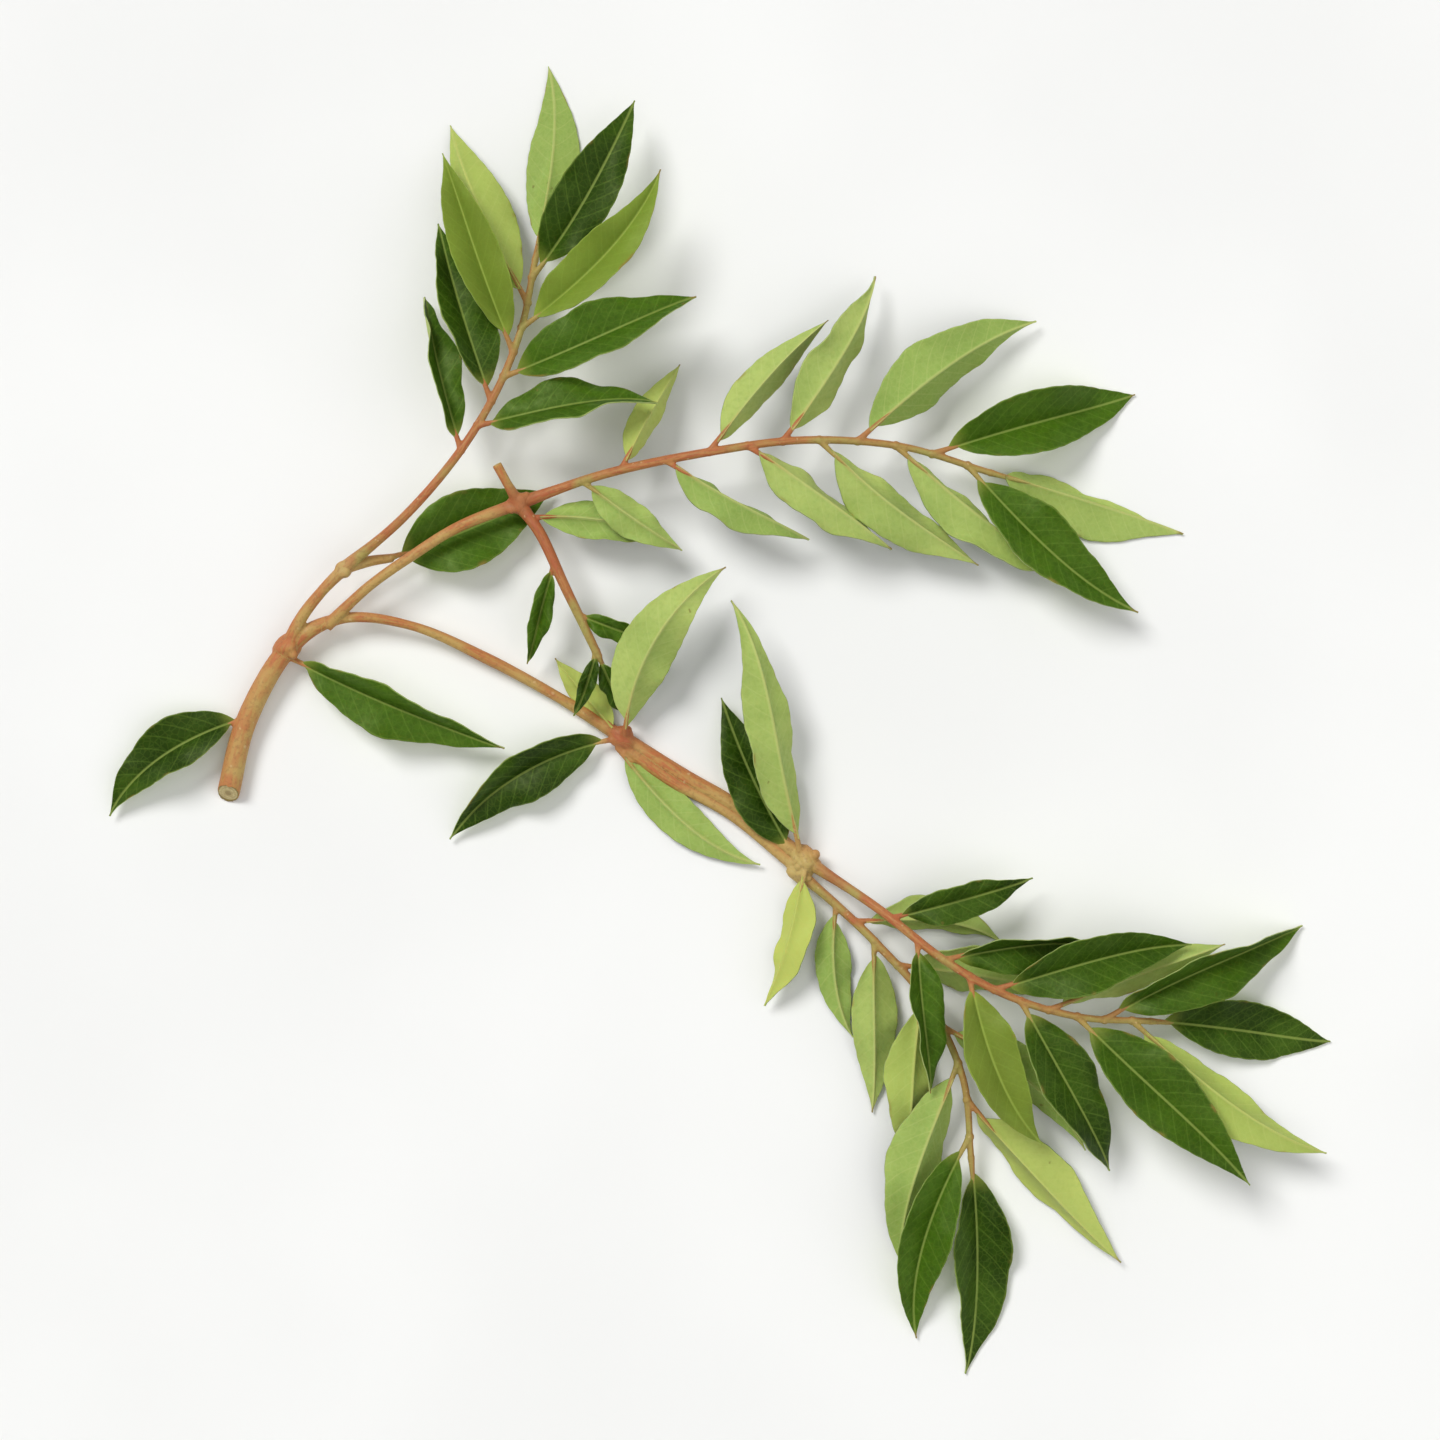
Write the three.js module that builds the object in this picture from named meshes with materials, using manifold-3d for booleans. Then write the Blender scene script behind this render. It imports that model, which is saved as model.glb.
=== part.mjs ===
// A sprig of curry leaf, as cut and laid on a table: a reddish forked twig with single leaflets at its
// nodes and five pinnate fronds. Each frond is a thin rachis with lance-shaped leaflets set alternately
// along it and one at its tip. Millimetres, +Z up. The origin is the flat spot under the twig.
import * as THREE from "three";
import { mergeVertices } from "three/addons/utils/BufferGeometryUtils.js";
import Module from "manifold-3d";

const wasm = await Module();
wasm.setup();

// ---- Driving dimensions, in millimetres and degrees ----
const GAP = 0.3; // between a frond's foot and the twig
const BLADE = { thick: 0.6, rib: 0.25, tipHalf: 0.35 };
const STALK = { share: 0.07, half: 0.36, thick: 0.72 }; // a leaflet's own short stalk
const OUTLINE = { rise: 0.85, fall: 1.3 }; // how the blade widens from its foot and narrows to its tip
const SLENDERNESS = 3.5; // a leaflet's length over its width
const STATIONS = [0, 0.07, 0.15, 0.26, 0.4, 0.55, 0.7, 0.84, 0.93, 1];
const WAVE = { height: 0.45, turns: 2.6 }; // the gentle wave of a blade's edges
const SPREAD = { atFoot: 58, atTip: 34, jitter: 6 }; // angle between leaflet and rachis
const SETTLE = 0.7; // how gently a drooping blade flattens out where it comes to rest
const RACHIS = { foot: 0.56, swelling: 0.24, tip: 0.38, sides: 6, steps: 14, footShare: 0.1 };
const TWIG_SIDES = 8;
const CUT_LEAN = 1.1; // how far the slanted cut at the foot of the twig leans
const SWELLING = { sides: 10, rings: 7 };

// The main shoot from its cut end, the partner strand grown together with it between two of its nodes, the
// side twig to the top frond, the fork to the upper left one, the spur under a single leaflet, and the stub
// of a stem that broke off.
const TWIG_PATH = [
  [-51.5, -2, 1.4], [-49.4, 6.2, 1.7], [-44.6, 14.4, 2.4], [-38.4, 17.8, 2.9], [-30.4, 16.9, 2.5],
  [-22, 13.2, 1.8], [-14.1, 8.9, 1.2], [-6.6, 4.2, 0.85], [0, 0, 0.78], [6.2, -3.6, 0.9], [14, -9.6, 1.4],
];
const TWIG_RADII = [1.3, 1.22, 1.1, 0.62, 0.52, 0.66, 0.6, 0.84, 0.9, 0.85, 0.85];
const PARTNER_PATH = [[-6.4, 3, 1], [-0.8, -0.9, 0.8], [5.7, -4.6, 0.9], [13, -10.6, 1.3]];
const PARTNER_RADII = [0.75, 0.66, 0.6, 0.62];
const SIDE_TWIG_PATH = [
  [-40.2, 16.9, 2.9], [-37.2, 19.7, 3.9], [-34.7, 21.8, 4.6], [-30.8, 24.5, 5.1], [-25.2, 28, 5.1],
  [-18.4, 30.7, 4.7],
];
const SIDE_TWIG_RADII = [0.72, 0.6, 0.58, 0.6, 0.62, 0.75];
const FORK_PATH = [[-44.8, 14.2, 2.6], [-43, 17.8, 3.5], [-40.6, 20.8, 4.3], [-38, 23.4, 4.8]];
const FORK_RADII = [0.9, 0.7, 0.62, 0.72];
const SPUR_PATH = [[-38, 23.4, 4.7], [-35.2, 24.2, 4.3], [-32.6, 24.6, 3.7]];
const SPUR_RADII = [0.7, 0.62, 0.5];
const STUB_PATH = [[-18.4, 30.7, 4.9], [-19.6, 32.8, 6], [-20.8, 35, 6.4]];
const STUB_RADII = [0.7, 0.52, 0.55];
const STEMS = [
  { path: TWIG_PATH, radii: TWIG_RADII, steps: 26, cutLean: CUT_LEAN },
  { path: PARTNER_PATH, radii: PARTNER_RADII, steps: 10 },
  { path: SIDE_TWIG_PATH, radii: SIDE_TWIG_RADII, steps: 10 },
  { path: FORK_PATH, radii: FORK_RADII, steps: 5 },
  { path: SPUR_PATH, radii: SPUR_RADII, steps: 4 },
  { path: STUB_PATH, radii: STUB_RADII, steps: 4 },
];
const SWELLINGS = [
  { at: [-44.6, 14.6, 2.5], radius: 1.5 },
  { at: [-38.1, 23.3, 4.7], radius: 1 },
  { at: [-6.8, 4.3, 1.25], radius: 1.25 },
  { at: [14, -9.6, 1.6], radius: 1.5 },
  { at: [13.3, -11.1, 1.45], radius: 1.25 },
  { at: [-18.4, 30.7, 4.7], radius: 1.3 },
];

// turn is the direction of a leaflet's foot, anticlockwise from +X, sway how far it swings round on its way
// and hook how far its tip does. lift is its slope at the foot, droop how far it bends down and curl how far
// its tip does. roll 0 shows the dark upper side and 180 the pale underside.
const TWIG_LEAFLETS = [
  {
    at: [-6.6, 4.2, 1.7], length: 25, width: 6.8, turn: 86, sway: -50, hook: -4,
    lift: 42, droop: 62, curl: 8, roll: 196, twist: -22, fold: 20,
  },
  {
    at: [-7.4, 4.2, 1.2], length: 23, width: 6.8, turn: 190, sway: 38, hook: 8,
    lift: 12, droop: 24, curl: 6, roll: -14, twist: -16, fold: 30,
  },
  {
    at: [-7.4, 3.3, 1], length: 21.5, width: 4.8, turn: 306, sway: 16, hook: 26,
    lift: 2, droop: 6, curl: 0, roll: 178, twist: 6, fold: 14,
  },
  {
    at: [13.4, -8.8, 2], length: 31, width: 6.4, turn: 107, sway: -22, hook: 38,
    lift: 32, droop: 44, curl: 6, roll: 224, twist: -22, fold: 18,
  },
  {
    at: [12.8, -9.2, 1.6], length: 20, width: 6.6, turn: 122, sway: -14, hook: 0,
    lift: 9, droop: 14, curl: 4, roll: -12, twist: 8, fold: 20,
  },
  {
    at: [-44.8, 13.6, 2.2], length: 27, width: 6.8, turn: 332, sway: 12, hook: -4,
    lift: 10, droop: 16, curl: 6, roll: 26, twist: 10, fold: 34,
  },
  {
    at: [-49.2, 6.6, 1.8], length: 20, width: 6.4, turn: 196, sway: 30, hook: 18,
    lift: 8, droop: 22, curl: 0, roll: 8, twist: 14, fold: 22,
  },
  {
    at: [-33, 24.6, 3.7], length: 20, width: 9, turn: 18, sway: 10, hook: 0,
    lift: -8, droop: -6, curl: 8, roll: 6, twist: -8, fold: 14,
  },
  {
    at: [13.9, -10.4, 2.4], length: 17, width: 4.6, turn: 260, sway: -8, hook: -10,
    lift: 22, droop: 52, curl: 0, roll: 204, twist: 20, fold: 20,
  },
  {
    at: [-7.4, 4.9, 1.3], length: 11, width: 3.8, turn: 132, sway: -4, hook: 0,
    lift: 4, droop: 12, curl: 0, roll: 168, twist: 12, fold: 20,
  },
];

// lift, droop and roll are a side's habit, for the leaflets to the left and to the right of the rachis.
// face 0 turns the upper sides up and 180 the undersides. first is the side of the lowest leaflet, lowest its
// length as a share of the leaflet at the tip, and stout how much thicker than the others the rachis is.
const FRONDS = [
  {
    name: "frond_upper_left", seed: 181, leaflets: 8, from: 0.42, length: 25, lowest: 0.5, face: 0, first: 1,
    path: [
      [-38, 23.4, 4.8], [-31.2, 29, 6.8], [-25.2, 35.8, 7.8], [-20.8, 43, 7.4], [-18, 50.4, 6],
      [-16.6, 58, 4.2],
    ],
    left: { lift: 8, droop: 36, roll: 18 }, right: { lift: 16, droop: 24, roll: 20 },
  },
  {
    name: "frond_top", seed: 355, leaflets: 11, from: 0.14, length: 26, lowest: 0.45, face: 180, first: -1,
    path: [
      [-18.4, 30.7, 4.7], [-8, 34, 7.4], [4, 36.4, 8.2], [14, 37.6, 7.8], [24.6, 37, 6],
      [34.6, 34.2, 4.2],
    ],
    left: { lift: 2, droop: 30, roll: 18 }, right: { lift: 6, droop: 22, roll: 20 },
  },
  {
    name: "frond_short", seed: 1106, leaflets: 4, from: 0.12, length: 8.4, lowest: 2.2, face: 0, first: 1,
    stout: 1.25,
    path: [
      [-18.4, 30.7, 4.7], [-15.8, 27, 5.7], [-13.3, 21.6, 6], [-11, 16.8, 5.4], [-9.4, 13.4, 4.5],
    ],
    left: { lift: 0, droop: 8, roll: 12 }, right: { lift: 2, droop: 14, roll: 12 },
  },
  {
    name: "frond_right", seed: 68, leaflets: 10, from: 0.24, length: 26, lowest: 0.45, face: 0, first: 1,
    path: [
      [14, -9.6, 1.5], [21.9, -14.8, 5.2], [29.4, -20.6, 7.2], [36.6, -24.6, 7.4], [44.6, -27, 6.2],
      [52.6, -27.6, 4.4],
    ],
    left: { lift: 4, droop: 28, roll: 20 }, right: { lift: 12, droop: 24, roll: 20 },
  },
  {
    name: "frond_bottom", seed: 478, leaflets: 9, from: 0.2, length: 25, lowest: 0.5, face: 180, first: -1,
    path: [
      [13.3, -11.1, 1.4], [17.4, -14.6, 2.2], [22, -19, 3.2], [27.6, -25.4, 4.4], [31.6, -34, 4.2],
      [32.6, -43, 3],
    ],
    left: { lift: 0, droop: 22, roll: 18 }, right: { lift: 6, droop: 30, roll: 18 },
  },
];
const FLIPPED = 0.25; // the share of a frond's leaflets that have turned over

const COLOURS = {
  twig: { color: 0xa86a48, roughness: 0.62 },
  upper: { color: 0x46701e, roughness: 0.42 },
  under: { color: 0x9db65f, roughness: 0.6 },
};

// ---- Small helpers ----
const UP = new THREE.Vector3(0, 0, 1);
const radians = (degrees) => (degrees * Math.PI) / 180;
const mix = (a, b, share) => a + (b - a) * share;
const vector = (point) => new THREE.Vector3(...point);
const curveThrough = (points) => new THREE.CatmullRomCurve3(points.map(vector), false, "catmullrom", 0.5);

// A draw between low and high that is the same for the same key on every run.
function draw(key, low, high) {
  const raw = Math.sin(key * 12.9898) * 43758.5453;
  return mix(low, high, raw - Math.floor(raw));
}

// The value at share of the way along a list of evenly spaced values.
function along(values, share) {
  const place = share * (values.length - 1);
  const index = Math.min(Math.floor(place), values.length - 2);
  return mix(values[index], values[index + 1], place - index);
}

// A closed surface through rings of points that all have the same count. The quads of each ring's second
// half are split the other way round, so that the two faces of a thin blade are split alike.
function loft(rings) {
  const count = rings[0].length;
  const index = [];
  for (let i = 0; i < rings.length - 1; i++) {
    for (let j = 0; j < count; j++) {
      const a = i * count + j;
      const b = i * count + ((j + 1) % count);
      const [c, d] = [a + count, b + count];
      if (j < count / 2) index.push(a, d, b, a, c, d);
      else index.push(a, c, b, b, c, d);
    }
  }
  const last = (rings.length - 1) * count;
  for (let j = 1; j < count - 1; j++) {
    index.push(0, j, j + 1);
    index.push(last, last + j + 1, last + j);
  }
  const geometry = new THREE.BufferGeometry().setFromPoints(rings.flat());
  geometry.setIndex(index);
  return geometry;
}

// A three.js geometry as a manifold solid.
function solid(geometry) {
  const bare = geometry.clone();
  bare.deleteAttribute("normal");
  bare.deleteAttribute("uv");
  const merged = mergeVertices(bare, 1e-4);
  return new wasm.Manifold(
    new wasm.Mesh({
      numProp: 3,
      vertProperties: merged.attributes.position.array,
      triVerts: new Uint32Array(merged.index.array),
    }),
  );
}

function geometryOf(body) {
  const mesh = body.getMesh();
  const geometry = new THREE.BufferGeometry();
  geometry.setAttribute("position", new THREE.BufferAttribute(mesh.vertProperties, 3));
  geometry.setIndex(new THREE.BufferAttribute(mesh.triVerts, 1));
  return geometry.toNonIndexed();
}

// ---- Stems ----
// A round stem along a curve. A point that would sink under the table is moved up onto it.
function stem(curve, radiusAt, sides, steps, cutLean = 0) {
  const rings = [];
  for (let i = 0; i <= steps; i++) {
    const share = i / steps;
    const centre = curve.getPoint(share);
    const ahead = curve.getTangent(share);
    const across = new THREE.Vector3().crossVectors(ahead, UP).normalize();
    const above = new THREE.Vector3().crossVectors(across, ahead);
    const ring = [];
    for (let j = 0; j < sides; j++) {
      const angle = (2 * Math.PI * (j + 0.5)) / sides - Math.PI / 2;
      const point = centre.clone();
      point.addScaledVector(across, radiusAt(share) * Math.cos(angle));
      point.addScaledVector(above, radiusAt(share) * Math.sin(angle));
      if (i === 0) point.addScaledVector(ahead, cutLean * Math.sin(angle));
      point.z = Math.max(point.z, 0);
      ring.push(point);
    }
    rings.push(ring);
  }
  return solid(loft(rings));
}

// The forked twig. grow makes a thicker copy, which trims the fronds' feet clear of it.
function twigWood(grow = 0) {
  const parts = STEMS.map(({ path, radii, steps, cutLean }) =>
    stem(curveThrough(path), (share) => along(radii, share) + grow, TWIG_SIDES, steps, cutLean));
  for (const { at, radius } of SWELLINGS) {
    const ball = new THREE.SphereGeometry(radius + grow, SWELLING.sides, SWELLING.rings);
    ball.translate(...at);
    parts.push(solid(ball));
  }
  return wasm.Manifold.union(parts);
}

// ---- Leaflets ----
// Half the blade's width at a share of the leaflet's length: a narrow stalk, then a lance shape.
function halfWidth(share, widest) {
  if (share <= STALK.share) return STALK.half;
  const s = (share - STALK.share) / (1 - STALK.share);
  const peak = OUTLINE.rise / (OUTLINE.rise + OUTLINE.fall);
  const lance = (s / peak) ** OUTLINE.rise * ((1 - s) / (1 - peak)) ** OUTLINE.fall;
  return Math.max(widest * lance, mix(STALK.half, BLADE.tipHalf, s));
}

// A drooping blade levels out on the table instead of passing through it.
function settle(height) {
  const floor = BLADE.thick / 2;
  return floor + SETTLE * Math.log(1 + Math.exp((height - floor) / SETTLE));
}

// Walks along a leaflet's rib, and gives the place, facing and crosswise direction at each share of it.
function ribFrames(leaflet, shares) {
  const place = leaflet.foot.clone();
  const frames = [];
  let walked = 0;
  for (const share of shares) {
    place.addScaledVector(headings(leaflet, (walked + share) / 2).ahead, (share - walked) * leaflet.length);
    walked = share;
    const { ahead, above } = headings(leaflet, share);
    const across = new THREE.Vector3().crossVectors(ahead, above);
    const roll = radians(leaflet.roll + leaflet.twist * share);
    frames.push({
      place: place.clone(),
      facing: above.clone().multiplyScalar(Math.cos(roll)).addScaledVector(across, Math.sin(roll)),
      across: across.clone().multiplyScalar(Math.cos(roll)).addScaledVector(above, -Math.sin(roll)),
    });
  }
  return frames;
}

function headings(leaflet, share) {
  const turn = radians(leaflet.turn + leaflet.sway * share + leaflet.hook * share ** 3);
  const slope = radians(leaflet.lift - leaflet.droop * share - leaflet.curl * share ** 3);
  const [level, rise] = [Math.cos(slope), Math.sin(slope)];
  return {
    ahead: new THREE.Vector3(level * Math.cos(turn), level * Math.sin(turn), rise),
    above: new THREE.Vector3(-rise * Math.cos(turn), -rise * Math.sin(turn), level),
  };
}

// One leaflet as a thin solid, folded a little along its rib. Each ring runs over the upper side and back.
function blade(leaflet) {
  const frames = ribFrames(leaflet, STATIONS);
  const rings = STATIONS.map((share, i) => {
    const { place, facing, across } = frames[i];
    const half = halfWidth(share, leaflet.width / 2);
    const fold = radians(leaflet.fold) * Math.min(1, share / 0.2);
    const onStalk = share <= STALK.share;
    const thick = (onStalk ? STALK.thick : BLADE.thick) / 2;
    const rib = onStalk ? 0 : BLADE.rib * (1 - share);
    const edge = (side) => {
      const wave = onStalk ? 0 : WAVE.height * Math.sin(Math.PI * share) *
        Math.sin(2 * Math.PI * WAVE.turns * share + leaflet.phase + side);
      return place.clone()
        .addScaledVector(across, side * half * Math.cos(fold))
        .addScaledVector(facing, half * Math.sin(fold) + wave);
    };
    const spots = [edge(1), place.clone(), edge(-1)];
    for (const spot of spots) spot.z = settle(spot.z);
    const upper = spots.map((spot) => spot.clone().addScaledVector(facing, thick));
    const under = spots.map((spot, k) => spot.clone().addScaledVector(facing, -thick - (k === 1 ? rib : 0)));
    spots.forEach((_, k) => keepOnTable(upper[k], under[k]));
    return [...upper, ...under.reverse()];
  });
  return solid(loft(rings));
}

// The lower of a blade's two faces may lie on the table, and the other stays a blade's thickness above it.
function keepOnTable(one, other) {
  const [low, high] = one.z < other.z ? [one, other] : [other, one];
  low.z = Math.max(low.z, 0);
  high.z = Math.max(high.z, BLADE.thick);
}

// ---- Fronds ----
// The leaflets of a frond: alternate ones along the rachis, and one that carries on from its tip.
function leafletsOf(frond) {
  const curve = curveThrough(frond.path);
  const list = [];
  for (let k = 0; k <= frond.leaflets; k++) {
    const atTip = k === frond.leaflets;
    const share = atTip ? 1 : mix(frond.from, 0.95, k / (frond.leaflets - 1));
    const side = atTip ? 0 : frond.first * (k % 2 ? -1 : 1);
    const habit = side < 0 ? frond.right : frond.left;
    const tangent = curve.getTangent(share);
    const key = 100 * frond.seed + 9 * k;
    const angle = mix(SPREAD.atFoot, SPREAD.atTip, share);
    const spread = side * (angle + draw(key, -SPREAD.jitter, SPREAD.jitter));
    const flip = draw(key + 1, 0, 1) < FLIPPED ? 180 : 0;
    const growth = mix(frond.lowest, 1, Math.sin((Math.PI / 2) * share));
    const length = frond.length * growth * draw(key + 8, 0.93, 1.07);
    list.push({
      foot: curve.getPoint(share),
      turn: THREE.MathUtils.radToDeg(Math.atan2(tangent.y, tangent.x)) + spread,
      sway: -side * 12 + draw(key + 2, -14, 14),
      lift: atTip ? THREE.MathUtils.radToDeg(Math.asin(tangent.z)) : habit.lift + draw(key + 3, -4, 4),
      droop: habit.droop * (atTip ? 0.6 : 1) + draw(key + 4, -6, 6),
      roll: frond.face + flip + side * habit.roll + draw(key + 5, -15, 15),
      twist: draw(key + 6, -38, 38),
      fold: draw(key + 7, 14, 44),
      hook: draw(key + 2.5, -24, 24),
      curl: draw(key + 3.5, -10, 30),
      length,
      width: (length / SLENDERNESS) * draw(key + 8.5, 0.9, 1.12),
      phase: key,
    });
  }
  return list;
}

function rachisRadius(share) {
  return mix(RACHIS.foot, RACHIS.tip, share) + RACHIS.swelling * Math.max(0, 1 - share / RACHIS.footShare);
}

function frondBody(frond) {
  const radiusAt = (share) => (frond.stout ?? 1) * rachisRadius(share);
  const rachis = stem(curveThrough(frond.path), radiusAt, RACHIS.sides, RACHIS.steps);
  return wasm.Manifold.union([rachis, ...leafletsOf(frond).map(blade)]);
}

function leafyTwig() {
  const blades = TWIG_LEAFLETS.map((leaflet, number) =>
    blade({ ...leaflet, foot: vector(leaflet.at), phase: number }));
  return wasm.Manifold.union([twigWood(), ...blades]);
}

// ---- The sprig ----
function piece(name, body, look) {
  const mesh = new THREE.Mesh(geometryOf(body), new THREE.MeshStandardMaterial({ ...look, metalness: 0 }));
  mesh.geometry.computeVertexNormals();
  mesh.name = name;
  return mesh;
}

const sprig = new THREE.Group();
sprig.add(piece("leafy_twig", leafyTwig(), COLOURS.twig));
const trimmer = twigWood(GAP);
for (const frond of FRONDS) {
  const body = frondBody(frond).subtract(trimmer);
  sprig.add(piece(frond.name, body, frond.face ? COLOURS.under : COLOURS.upper));
}

export default sprig;
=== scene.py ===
"""A sprig of curry leaf on a pale table, seen from straight above.

Fine leaflets, rachises and the twig stand for the faceted solids of the frame. They are made from the
same paths and the same rule, in millimetres, and turned to metres when a mesh is written.
"""
import math

import bmesh
import bpy
import numpy as np
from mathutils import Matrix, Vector


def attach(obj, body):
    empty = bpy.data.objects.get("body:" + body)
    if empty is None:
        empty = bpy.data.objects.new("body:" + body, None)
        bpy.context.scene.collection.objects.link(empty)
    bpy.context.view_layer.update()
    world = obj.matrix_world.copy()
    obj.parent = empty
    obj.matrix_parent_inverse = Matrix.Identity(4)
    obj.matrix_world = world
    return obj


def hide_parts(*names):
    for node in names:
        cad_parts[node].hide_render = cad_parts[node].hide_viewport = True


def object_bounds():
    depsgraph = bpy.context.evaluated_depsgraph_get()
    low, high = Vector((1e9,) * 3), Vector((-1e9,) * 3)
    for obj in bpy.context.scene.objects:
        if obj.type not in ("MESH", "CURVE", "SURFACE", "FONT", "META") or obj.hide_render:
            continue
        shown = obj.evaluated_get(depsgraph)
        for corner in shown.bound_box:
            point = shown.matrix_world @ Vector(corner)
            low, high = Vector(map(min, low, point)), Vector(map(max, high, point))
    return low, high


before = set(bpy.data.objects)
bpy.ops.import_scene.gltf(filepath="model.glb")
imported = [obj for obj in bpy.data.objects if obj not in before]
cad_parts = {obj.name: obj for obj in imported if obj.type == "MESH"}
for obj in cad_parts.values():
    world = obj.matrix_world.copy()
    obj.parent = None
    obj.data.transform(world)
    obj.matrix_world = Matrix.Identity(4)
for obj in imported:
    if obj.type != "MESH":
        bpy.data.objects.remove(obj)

CAD_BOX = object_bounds()
MM = 0.001

# ---- The sprig's driving dimensions, in millimetres and degrees ----
BLADE_THICK = 0.6  # of the solid blade, which sets how high a leaflet lies on the table
STALK = 0.07  # a leaflet's own short stalk, as a share of its length
OUTLINE_RISE, OUTLINE_FALL = 0.85, 1.3
SLENDERNESS = 3.5
WAVE_HEIGHT, WAVE_TURNS = 0.45, 2.6
SPREAD_AT_FOOT, SPREAD_AT_TIP, SPREAD_JITTER = 58, 34, 6
SETTLE = 0.7
FLIPPED = 0.25
RACHIS_FOOT, RACHIS_SWELLING, RACHIS_TIP, RACHIS_FOOT_SHARE = 0.56, 0.24, 0.38, 0.1
CUT_LEAN = 1.1

TWIG_PATH = [
    (-51.5, -2, 1.4), (-49.4, 6.2, 1.7), (-44.6, 14.4, 2.4), (-38.4, 17.8, 2.9), (-30.4, 16.9, 2.5),
    (-22, 13.2, 1.8), (-14.1, 8.9, 1.2), (-6.6, 4.2, 0.85), (0, 0, 0.78), (6.2, -3.6, 0.9), (14, -9.6, 1.4),
]
TWIG_RADII = [1.3, 1.22, 1.1, 0.62, 0.52, 0.66, 0.6, 0.84, 0.9, 0.85, 0.85]
PARTNER_PATH = [(-6.4, 3, 1), (-0.8, -0.9, 0.8), (5.7, -4.6, 0.9), (13, -10.6, 1.3)]
PARTNER_RADII = [0.75, 0.66, 0.6, 0.62]
SIDE_TWIG_PATH = [
    (-40.2, 16.9, 2.9), (-37.2, 19.7, 3.9), (-34.7, 21.8, 4.6), (-30.8, 24.5, 5.1), (-25.2, 28, 5.1),
    (-18.4, 30.7, 4.7),
]
SIDE_TWIG_RADII = [0.72, 0.6, 0.58, 0.6, 0.62, 0.75]
FORK_PATH = [(-44.8, 14.2, 2.6), (-43, 17.8, 3.5), (-40.6, 20.8, 4.3), (-38, 23.4, 4.8)]
FORK_RADII = [0.9, 0.7, 0.62, 0.72]
SPUR_PATH = [(-38, 23.4, 4.7), (-35.2, 24.2, 4.3), (-32.6, 24.6, 3.7)]
SPUR_RADII = [0.7, 0.62, 0.5]
STUB_PATH = [(-18.4, 30.7, 4.9), (-19.6, 32.8, 6), (-20.8, 35, 6.4)]
STUB_RADII = [0.7, 0.52, 0.55]
SWELLINGS = [  # the nodes: place, radius, and the level heading of the stem there
    ((-44.6, 14.6, 2.5), 1.4, 62),
    ((-38.1, 23.3, 4.7), 0.95, 45),
    ((-6.8, 4.3, 1.25), 1.15, -33),
    ((14, -9.6, 1.6), 1.4, -36),
    ((13.3, -11.1, 1.45), 1.15, -42),
    ((-18.4, 30.7, 4.7), 1.15, 20),
]
NODE_STRETCH, NODE_LUMPS = 1.3, 0.09
BUDS = [  # small buds and leaf scars on the nodes
    ((-6.2, 5.2, 1.9), 0.5),
    ((15, -8.9, 2.3), 0.6),
    ((13.1, -10.2, 2.5), 0.5),
    ((14.2, -11.6, 2.1), 0.45),
    ((-43.9, 13.7, 3.3), 0.55),
    ((-17.5, 31.5, 5.3), 0.5),
    ((-19.2, 29.9, 5.3), 0.45),
]
BLUSHES = [  # where the stems are redder, above 0, or paler: place, reach and how strongly
    ((-18.4, 30.7, 5), 2.6, 1),
    ((-15.4, 25.6, 5.6), 5, 0.6),
    ((-6.8, 4.3, 1.6), 2.4, 0.9),
    ((13.4, -10.4, 1.6), 2.2, -1),
    ((17.2, -11.6, 2.8), 1.8, 0.9),
    ((-44.6, 14.6, 2.6), 2, 0.4),
    ((-38.1, 23.3, 4.7), 2.6, -0.7),
    ((-50.8, 1, 1.6), 6, -0.3),
]

TWIG_LEAFLETS = [
    dict(at=(-6.6, 4.2, 1.7), length=25, width=6.8, turn=86, sway=-50, hook=-4,
         lift=42, droop=62, curl=8, roll=196, twist=-22, fold=20),
    dict(at=(-7.4, 4.2, 1.2), length=23, width=6.8, turn=190, sway=38, hook=8,
         lift=12, droop=24, curl=6, roll=-14, twist=-16, fold=30, tone=0),
    dict(at=(-7.4, 3.3, 1), length=21.5, width=4.8, turn=306, sway=16, hook=26,
         lift=2, droop=6, curl=0, roll=178, twist=6, fold=14),
    dict(at=(13.4, -8.8, 2), length=31, width=6.4, turn=107, sway=-22, hook=38,
         lift=32, droop=44, curl=6, roll=224, twist=-22, fold=18),
    dict(at=(12.8, -9.2, 1.6), length=20, width=6.6, turn=122, sway=-14, hook=0,
         lift=9, droop=14, curl=4, roll=-12, twist=8, fold=20, tone=0.1),
    dict(at=(-44.8, 13.6, 2.2), length=27, width=6.8, turn=332, sway=12, hook=-4,
         lift=10, droop=16, curl=6, roll=26, twist=10, fold=34),
    dict(at=(-49.2, 6.6, 1.8), length=20, width=6.4, turn=196, sway=30, hook=18,
         lift=8, droop=22, curl=0, roll=8, twist=14, fold=22),
    dict(at=(-33, 24.6, 3.7), length=20, width=9, turn=18, sway=10, hook=0,
         lift=-8, droop=-6, curl=8, roll=6, twist=-8, fold=14, tone=1),
    dict(at=(13.9, -10.4, 2.4), length=17, width=4.6, turn=260, sway=-8, hook=-10,
         lift=22, droop=52, curl=0, roll=204, twist=20, fold=20, yellow=0.8),
    dict(at=(-7.4, 4.9, 1.3), length=11, width=3.8, turn=132, sway=-4, hook=0,
         lift=4, droop=12, curl=0, roll=168, twist=12, fold=20, yellow=0.6),
]

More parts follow.
